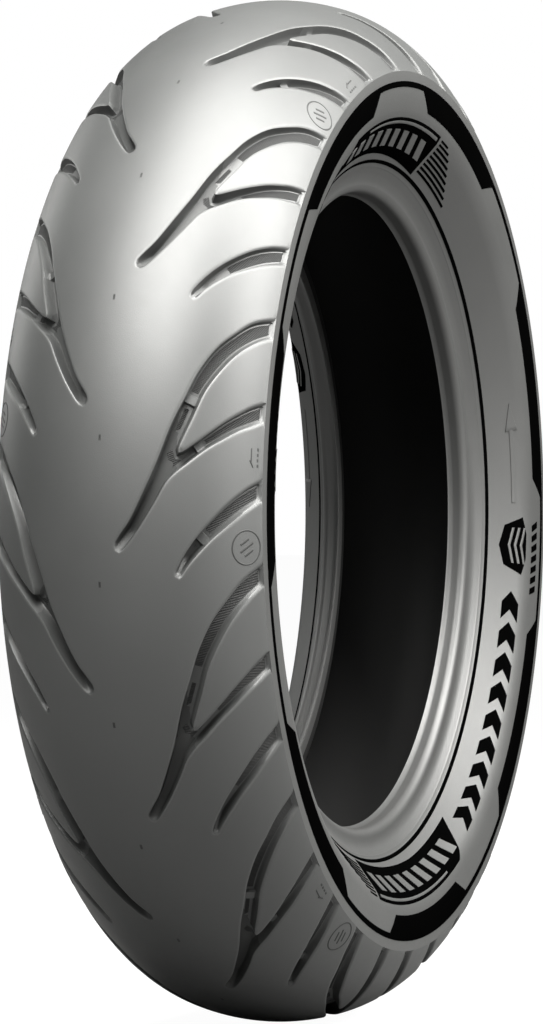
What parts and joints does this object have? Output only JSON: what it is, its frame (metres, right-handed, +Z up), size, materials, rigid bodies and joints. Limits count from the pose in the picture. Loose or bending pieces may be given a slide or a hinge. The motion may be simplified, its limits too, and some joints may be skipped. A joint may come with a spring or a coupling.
{
  "type": "motorcycle tyre",
  "caption": "Wide rear cruiser motorcycle tyre with swept forked tread grooves, banded sidewalls, belted carcass and wire beads, unmounted.",
  "frame": {"origin": "centre of the tyre, on the axle line and on the centre plane of the tread", "axes": "+Y along the axle, +Z up, +X across; seen from -X with +Z up, the -Y side is the right side and the +Y side the left"},
  "size_m": [0.6454, 0.1664, 0.6454],
  "materials": {
    "tread_rubber": "satin",
    "sidewall_rubber": "satin",
    "bead_rubber": "satin",
    "liner_rubber": "matt",
    "base_rubber": "matt",
    "belt_cord": "rubbered cord",
    "ply_cord": "rubbered cord",
    "chafer_fabric": "square weave",
    "bead_wire": "bronze-plated"
  },
  "bodies": {
    "root": {"tread_cap": "tread_rubber", "tread_base": "base_rubber", "tread_wing_left": "sidewall_rubber", "tread_wing_right": "sidewall_rubber", "sidewall_left": "sidewall_rubber", "sidewall_right": "sidewall_rubber", "rim_strip_left": "bead_rubber", "rim_strip_right": "bead_rubber", "belt_outer": "belt_cord", "belt_inner": "belt_cord", "belt_edge_strip_left": "base_rubber", "belt_edge_strip_right": "base_rubber", "carcass_ply_outer": "ply_cord", "carcass_ply_inner": "ply_cord", "tie_gum": "base_rubber", "inner_liner": "liner_rubber", "chafer_left": "chafer_fabric", "chafer_right": "chafer_fabric", "bead_filler_left": "bead_rubber", "bead_filler_right": "bead_rubber", "bead_wrap_left": "chafer_fabric", "bead_wrap_right": "chafer_fabric", "bead_wires_left": "bead_wire", "bead_wires_right": "bead_wire", "bead_insulation_left": "base_rubber", "bead_insulation_right": "base_rubber"}
  },
  "joints": []
}
